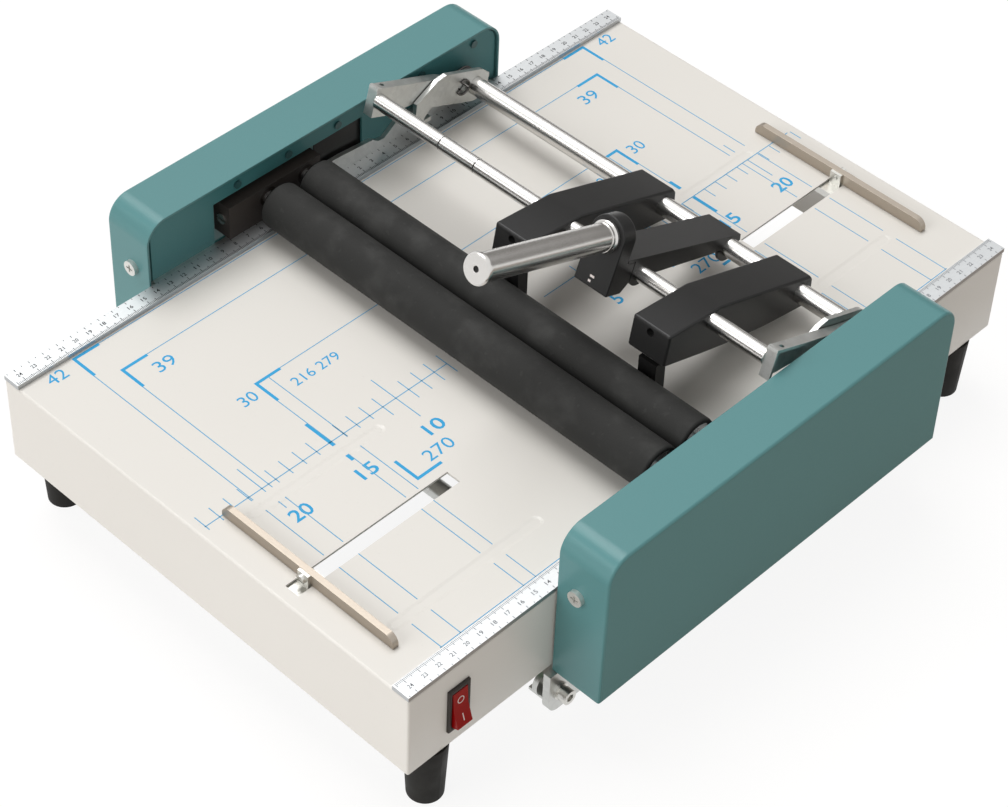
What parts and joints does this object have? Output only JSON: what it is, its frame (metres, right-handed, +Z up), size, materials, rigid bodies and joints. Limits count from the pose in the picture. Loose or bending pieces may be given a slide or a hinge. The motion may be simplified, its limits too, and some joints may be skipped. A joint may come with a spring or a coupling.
{
  "type": "booklet maker",
  "caption": "Table-top machine that staples sheets through their middle with sliding heads under a hand lever and folds them between a pair of rubber rollers.",
  "frame": {"origin": "on the ground under the middle of the machine", "axes": "+Z up, -Y towards the operator, +X the side with the power switch"},
  "size_m": [0.394, 0.493, 0.2285],
  "materials": {
    "base_paint": "satin off-white powder coat",
    "ruler_steel": "satin anodised strip with printed ticks",
    "foot_rubber": "matt black",
    "zinc_steel": "zinc plated",
    "galvanised": "galvanised sheet",
    "cover_paint": "satin teal powder coat",
    "panel_paint": "satin dark teal powder coat",
    "black_plastic": "matt black moulding",
    "bronze": "sintered bronze",
    "chrome_rod": "polished plating",
    "black_steel": "blackened steel",
    "spring_steel": "blackened spring wire",
    "anvil_steel": "ground steel",
    "motor_grey": "grey enamel",
    "board_green": "lacquered board",
    "roller_steel": "turned steel",
    "roller_rubber": "charcoal rubber",
    "gear_plastic": "natural acetal",
    "blade_steel": "bright steel",
    "black_paint": "black crackle enamel",
    "stop_metal": "champagne grey",
    "red_plastic": "clear red moulding"
  },
  "bodies": {
    "chassis": {"base_shell": "base_paint", "rulers": "ruler_steel", "feet": "foot_rubber", "foot_screws": "zinc_steel", "left_side_plate": "galvanised", "right_side_plate": "galvanised", "left_hub_plate": "galvanised", "right_hub_plate": "galvanised", "left_cover": "cover_paint", "right_cover": "cover_paint", "left_inner_panel": "panel_paint", "right_inner_panel": "panel_paint", "cover_screws": "zinc_steel", "left_roller_block": "black_plastic", "right_roller_block": "black_plastic", "roller_bushes": "bronze", "torsion_springs": "spring_steel", "anvil_bar": "anvil_steel", "gear_motor": "motor_grey", "motor_bracket": "galvanised", "blade_guides": "zinc_steel", "solenoid": "motor_grey", "lift_bolts": "zinc_steel", "switch_bezel": "black_plastic", "power_inlet": "black_plastic", "control_board": "board_green"},
    "swing_frame": {"rear_shaft": "chrome_rod", "shaft_rings": "black_steel", "left_arm": "galvanised", "right_arm": "galvanised", "front_rod": "chrome_rod", "handle_bracket": "black_paint", "handle_channel": "black_paint", "handle_bar": "chrome_rod", "handle_cap": "chrome_rod"},
    "left_stapler": {"left_head": "black_paint", "left_driver": "blade_steel"},
    "right_stapler": {"right_head": "black_paint", "right_driver": "blade_steel"},
    "left_staple_magazine": {"left_magazine": "black_steel"},
    "right_staple_magazine": {"right_magazine": "black_steel"},
    "front_roller": {"front_roller_core": "roller_steel", "front_roller_sleeve": "roller_rubber", "front_roller_gear": "gear_plastic"},
    "rear_roller": {"rear_roller_core": "roller_steel", "rear_roller_sleeve": "roller_rubber", "rear_roller_gear": "gear_plastic"},
    "idler": {"idler_gear": "gear_plastic"},
    "motor_rotor": {"motor_pinion": "gear_plastic"},
    "blade": {"fold_blade": "blade_steel", "blade_carrier": "galvanised", "solenoid_plunger": "roller_steel"},
    "lever": {"lift_lever": "galvanised"},
    "near_stop": {"near_stop_bar": "stop_metal", "near_stop_slide": "zinc_steel"},
    "far_stop": {"far_stop_bar": "stop_metal", "far_stop_slide": "zinc_steel"},
    "power_rocker": {"rocker": "red_plastic"},
    "left_screw": {"left_pressure_screw": "zinc_steel"},
    "right_screw": {"right_pressure_screw": "zinc_steel"}
  },
  "joints": [
    {"name": "stapler_swing", "type": "hinge", "parent": "chassis", "child": "swing_frame", "pos_m": [0, 0.1125, 0.122], "axis": [1, 0, 0], "range_deg": [0, 4.2], "stiffness_Nm_per_rad": 18, "springref_deg": -20.05},
    {"name": "left_head_slide", "type": "slide", "parent": "swing_frame", "child": "left_stapler", "axis": [1, 0, 0], "range_m": [-0.115, 0.024]},
    {"name": "right_head_slide", "type": "slide", "parent": "swing_frame", "child": "right_stapler", "axis": [1, 0, 0], "range_m": [-0.025, 0.024]},
    {"name": "left_nose_lift", "type": "hinge", "parent": "left_stapler", "child": "left_staple_magazine", "pos_m": [0, 0.097, 0.121], "axis": [1, 0, 0], "range_deg": [-2, 0], "stiffness_Nm_per_rad": 0.5, "springref_deg": 14.32},
    {"name": "right_nose_lift", "type": "hinge", "parent": "right_stapler", "child": "right_staple_magazine", "pos_m": [0, 0.097, 0.121], "axis": [1, 0, 0], "range_deg": [-2, 0], "stiffness_Nm_per_rad": 0.5, "springref_deg": 14.32},
    {"name": "front_roller_spin", "type": "hinge", "parent": "chassis", "child": "front_roller", "pos_m": [0, -0.0493, 0.1203], "axis": [1, 0, 0], "continuous": true},
    {"name": "rear_roller_spin", "type": "hinge", "parent": "chassis", "child": "rear_roller", "pos_m": [0, -0.0195, 0.1203], "axis": [1, 0, 0], "continuous": true},
    {"name": "idler_spin", "type": "hinge", "parent": "chassis", "child": "idler", "pos_m": [0, 0.00051, 0.08888], "axis": [1, 0, 0], "continuous": true},
    {"name": "motor_spin", "type": "hinge", "parent": "chassis", "child": "motor_rotor", "pos_m": [0, 0.02925, 0.07162], "axis": [1, 0, 0], "continuous": true},
    {"name": "blade_lift", "type": "slide", "parent": "chassis", "child": "blade", "axis": [0, 0, 1], "range_m": [0, 0.0145]},
    {"name": "lever_turn", "type": "hinge", "parent": "chassis", "child": "lever", "pos_m": [0, -0.137, 0.024], "axis": [1, 0, 0], "range_deg": [0, 7.12]},
    {"name": "near_stop_travel", "type": "slide", "parent": "chassis", "child": "near_stop", "axis": [0, 1, 0], "range_m": [-0.0055, 0.106]},
    {"name": "far_stop_travel", "type": "slide", "parent": "chassis", "child": "far_stop", "axis": [0, 1, 0], "range_m": [-0.0787, 0.0097]},
    {"name": "power_switch", "type": "hinge", "parent": "chassis", "child": "power_rocker", "pos_m": [0.1605, -0.211, 0.0705], "axis": [0, 1, 0], "range_deg": [0, 14]},
    {"name": "left_pressure_turn", "type": "hinge", "parent": "chassis", "child": "left_screw", "pos_m": [-0.167, -0.07, 0.117], "axis": [0, 1, 0], "continuous": true},
    {"name": "right_pressure_turn", "type": "hinge", "parent": "chassis", "child": "right_screw", "pos_m": [0.167, -0.07, 0.117], "axis": [0, 1, 0], "continuous": true}
  ],
  "couplings": [
    {"joint": "rear_roller_spin", "follows": "front_roller_spin", "ratio": -1},
    {"joint": "idler_spin", "follows": "front_roller_spin", "ratio": 0.66667},
    {"joint": "motor_spin", "follows": "front_roller_spin", "ratio": -1.3333},
    {"joint": "lever_turn", "follows": "blade_lift", "rad_per_m": 8.558}
  ]
}
